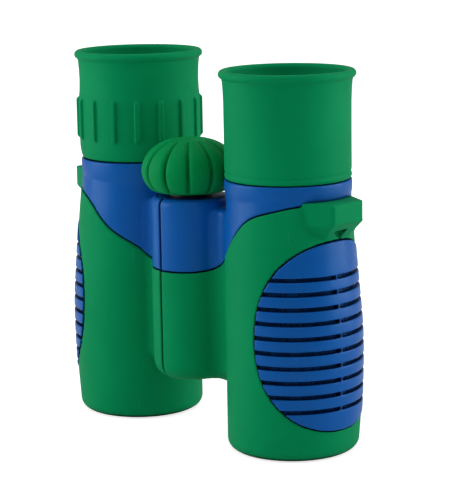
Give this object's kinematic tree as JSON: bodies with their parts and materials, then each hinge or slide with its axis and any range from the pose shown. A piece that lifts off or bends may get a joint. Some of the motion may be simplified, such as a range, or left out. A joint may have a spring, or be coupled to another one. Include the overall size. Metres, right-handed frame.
{
  "type": "centre-hinge binoculars",
  "caption": "Small centre-hinge roof-prism binoculars with rubber-armoured barrels, grooved side grips, strap lugs, a lobed focusing wheel and a ribbed dioptre eyepiece.",
  "frame": {"origin": "centre of the standing footprint: on the plane of both objective ends, midway between the two optical axes, and midway between the front of the focus wheel and the back of the eyecup rims", "axes": "+Z along the barrels from the objectives to the eyepieces; +X from the dioptre-side barrel to the other barrel; the centre hinge lies toward -Y"},
  "size_m": [0.109, 0.0416, 0.1097],
  "materials": {
    "body_plastic": "satin moulded blue",
    "armour": "matte moulded green",
    "soft_rubber": "matte soft green",
    "black_plastic": "matte black",
    "black_metal": "black anodised",
    "steel": "plain",
    "nylon": "natural",
    "optical_glass": "polished, coated"
  },
  "bodies": {
    "right_half": {"housing_right": "body_plastic", "armour_right": "armour", "grip_panel_right": "body_plastic", "hinge_axle": "black_metal", "axle_nut": "steel", "hinge_washers": "nylon", "hinge_end_cap": "black_plastic", "objective_bezel_right": "black_plastic", "prism_holder_right": "black_plastic", "penta_prism_right": "optical_glass", "roof_prism_right": "optical_glass", "eyepiece_tube_right": "black_plastic", "field_lens_right": "optical_glass", "eye_lens_right": "optical_glass", "lens_spacer_right": "black_plastic", "lens_ring_right": "black_metal", "eyecup_right": "soft_rubber"},
    "left_half": {"housing_left": "body_plastic", "armour_left": "armour", "grip_panel_left": "body_plastic", "objective_bezel_left": "black_plastic", "prism_holder_left": "black_plastic", "penta_prism_left": "optical_glass", "roof_prism_left": "optical_glass", "eyepiece_seat_left": "black_plastic", "dioptre_key_left": "steel", "dioptre_retainer_left": "black_metal"},
    "focus_wheel": {"focus_wheel_core": "black_plastic", "focus_wheel_cover": "soft_rubber", "focus_rod": "steel", "wheel_pin": "steel", "rod_clip": "steel"},
    "focus_carriage": {"focus_carriage": "black_plastic", "carriage_snap_ring": "steel", "objective_cell_right": "black_plastic", "objective_lens_right": "optical_glass", "objective_ring_right": "black_metal"},
    "left_focus_cell": {"focus_yoke_left": "black_plastic", "objective_cell_left": "black_plastic", "objective_lens_left": "optical_glass", "objective_ring_left": "black_metal"},
    "dioptre_ring": {"dioptre_ring_core": "black_plastic", "eyecup_left": "soft_rubber"},
    "dioptre_lens_cell": {"lens_cell_left": "black_plastic", "field_lens_left": "optical_glass", "eye_lens_left": "optical_glass", "lens_spacer_left": "black_plastic", "lens_ring_left": "black_metal"}
  },
  "joints": [
    {"name": "folding_hinge", "type": "hinge", "parent": "right_half", "child": "left_half", "pos_m": [0, -0.00698, 0.05], "axis": [0, 0, 1], "range_deg": [-35, 0]},
    {"name": "focus_turn", "type": "hinge", "parent": "right_half", "child": "focus_wheel", "pos_m": [0, -0.00698, 0.0775], "axis": [0, 0, 1], "range_deg": [-70, 268]},
    {"name": "right_objective_slide", "type": "slide", "parent": "right_half", "child": "focus_carriage", "axis": [0, 0, 1], "range_m": [-0.0008, 0.003]},
    {"name": "left_objective_slide", "type": "slide", "parent": "left_half", "child": "left_focus_cell", "axis": [0, 0, 1], "range_m": [-0.0008, 0.003]},
    {"name": "dioptre_turn", "type": "hinge", "parent": "left_half", "child": "dioptre_ring", "pos_m": [-0.03112, 0.00158, 0.09], "axis": [0, 0, 1], "range_deg": [-118, 118]},
    {"name": "dioptre_slide", "type": "slide", "parent": "left_half", "child": "dioptre_lens_cell", "axis": [0, 0, 1], "range_m": [-0.0012, 0.0012]}
  ],
  "couplings": [
    {"joint": "right_objective_slide", "follows": "focus_turn", "m_per_rad": 0.00063662},
    {"joint": "left_objective_slide", "follows": "focus_turn", "m_per_rad": 0.00063662},
    {"joint": "dioptre_slide", "follows": "dioptre_turn", "m_per_rad": 0.00057296}
  ]
}
